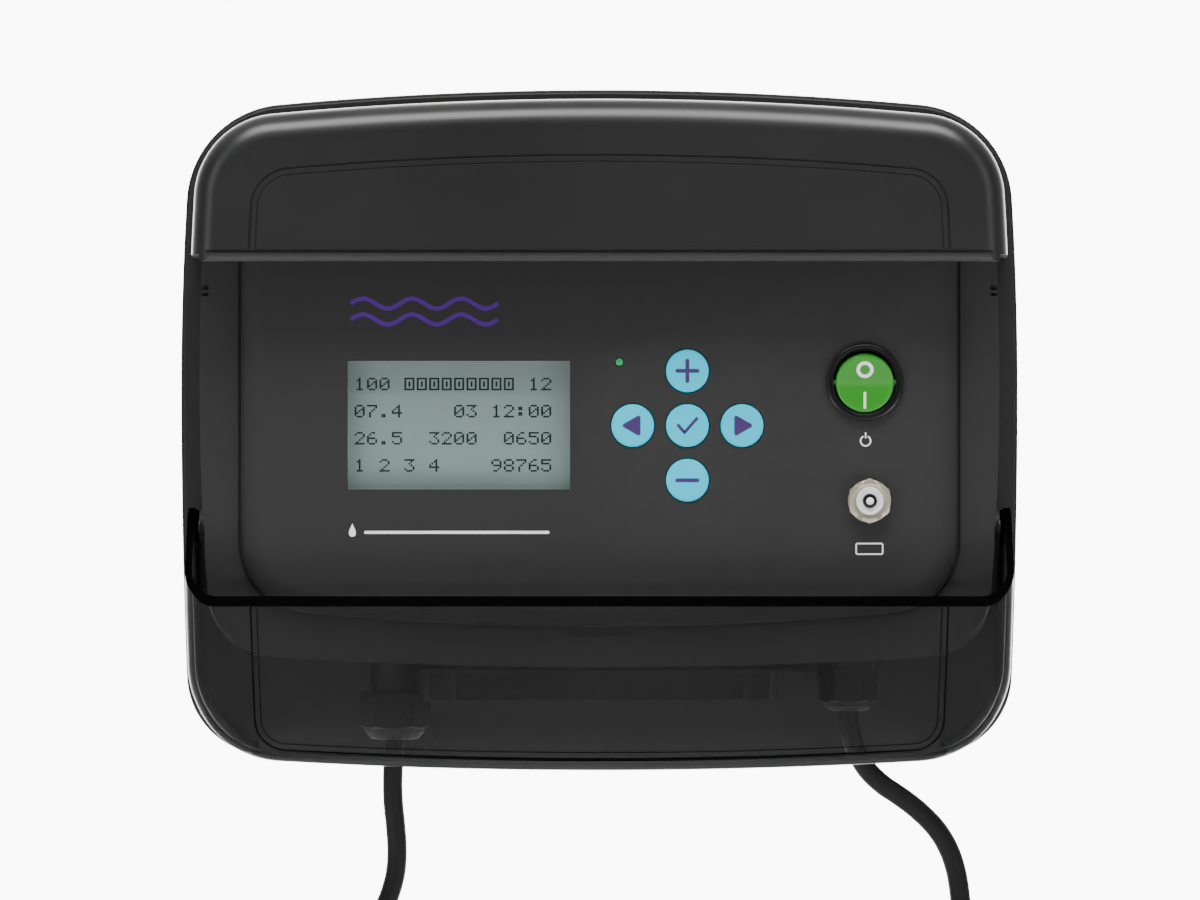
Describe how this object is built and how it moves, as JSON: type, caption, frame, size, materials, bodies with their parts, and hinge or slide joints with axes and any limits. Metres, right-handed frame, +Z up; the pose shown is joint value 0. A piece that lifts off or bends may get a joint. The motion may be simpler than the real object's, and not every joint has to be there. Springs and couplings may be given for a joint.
{
  "type": "salt chlorine generator",
  "caption": "Wall-hung pool chlorinator control box with display, round keys, rocker switch, reset breaker, smoked swing-up wiring cover and two coiled leads.",
  "frame": {"origin": "centre of the wall bracket's four screw holes, on the wall plane", "axes": "+X to the right as the front is seen, +Y into the wall, +Z up"},
  "size_m": [0.29, 0.118, 0.451],
  "materials": {
    "moulding": "fine grained moulded plastic",
    "cap": "satin moulded plastic",
    "facia": "matte dark grey film face",
    "smoked": "smoked clear plastic",
    "zinc": "zinc plated sheet",
    "steel": "plated steel",
    "nickel": "satin nickel",
    "seal_rubber": "soft rubber",
    "window": "clear window",
    "display": "grey-green display",
    "backlight": "white diffuser",
    "frame_metal": "black steel frame",
    "board": "solder mask over glass fibre",
    "component": "black moulded component",
    "led": "green clear plastic",
    "battery": "steel cell",
    "key": "cyan moulded key",
    "rocker": "green moulded rocker",
    "reset": "white moulded button",
    "heatsink": "extruded aluminium",
    "blue_part": "sleeved or moulded component",
    "fuse": "fuse in its holder",
    "terminal": "green terminal block",
    "winding": "core wrapped in yellow tape",
    "wire": "insulated wire",
    "gland": "black nylon",
    "lead": "black sheath",
    "lead_end": "overmoulded black",
    "pins": "plated brass",
    "tie": "black nylon tie"
  },
  "bodies": {
    "housing": {"rear_shell": "moulding", "inner_body": "moulding", "vent_grille": "moulding", "top_cap": "cap", "facia_plate": "facia", "wall_bracket": "zinc", "hanger_studs": "steel", "shell_screws": "steel", "facia_screws": "steel", "board_screws": "steel", "transformer_clamp": "steel", "transformer_bolt": "steel", "hinge_pins": "steel", "breaker_nut": "nickel", "breaker_washer": "nickel", "shell_gasket": "seal_rubber", "transformer_pads": "seal_rubber", "gland_seals": "seal_rubber", "lcd_lens": "window", "lcd_glass": "display", "lcd_backlight": "backlight", "lcd_frame": "frame_metal", "display_board": "board", "main_board": "board", "tact_switches": "component", "rectifier": "component", "breaker_body": "component", "switch_body": "component", "status_led": "led", "light_pipe": "led", "clock_battery": "battery", "heat_sink": "heatsink", "capacitors": "blue_part", "relays": "blue_part", "fuse_holder": "fuse", "terminal_block": "terminal", "transformer": "winding", "ribbon_cable": "wire", "inner_wires": "wire", "cell_gland": "gland", "cell_gland_nut": "gland", "mains_gland": "gland", "mains_gland_nut": "gland", "gland_locknuts": "gland", "mains_lead": "lead", "mains_coil": "lead", "cell_lead": "lead", "cell_coil": "lead", "mains_plug": "lead_end", "cell_connector": "lead_end", "plug_pins": "pins", "cable_ties": "tie"},
    "cover": {"smoked_cover": "smoked"},
    "plus": {"key_plus": "key"},
    "minus": {"key_minus": "key"},
    "left": {"key_left": "key"},
    "right": {"key_right": "key"},
    "ok": {"key_ok": "key"},
    "rocker": {"switch_rocker": "rocker"},
    "reset": {"reset_button": "reset"}
  },
  "joints": [
    {"name": "cover_swing", "type": "hinge", "parent": "housing", "child": "cover", "pos_m": [0, -0.07, -0.033], "axis": [-1, 0, 0], "range_deg": [0, 75]},
    {"name": "plus_press", "type": "slide", "parent": "housing", "child": "plus", "axis": [0, 1, 0], "range_m": [0, 0.0006], "stiffness_N_per_m": 400},
    {"name": "minus_press", "type": "slide", "parent": "housing", "child": "minus", "axis": [0, 1, 0], "range_m": [0, 0.0006], "stiffness_N_per_m": 400},
    {"name": "left_press", "type": "slide", "parent": "housing", "child": "left", "axis": [0, 1, 0], "range_m": [0, 0.0006], "stiffness_N_per_m": 400},
    {"name": "right_press", "type": "slide", "parent": "housing", "child": "right", "axis": [0, 1, 0], "range_m": [0, 0.0006], "stiffness_N_per_m": 400},
    {"name": "ok_press", "type": "slide", "parent": "housing", "child": "ok", "axis": [0, 1, 0], "range_m": [0, 0.0006], "stiffness_N_per_m": 400},
    {"name": "rocker_tilt", "type": "hinge", "parent": "housing", "child": "rocker", "pos_m": [0.0902, -0.097, 0.0162], "axis": [1, 0, 0], "range_deg": [-16, 0]},
    {"name": "reset_trip", "type": "slide", "parent": "housing", "child": "reset", "axis": [0, -1, 0], "range_m": [0, 0.004]}
  ]
}
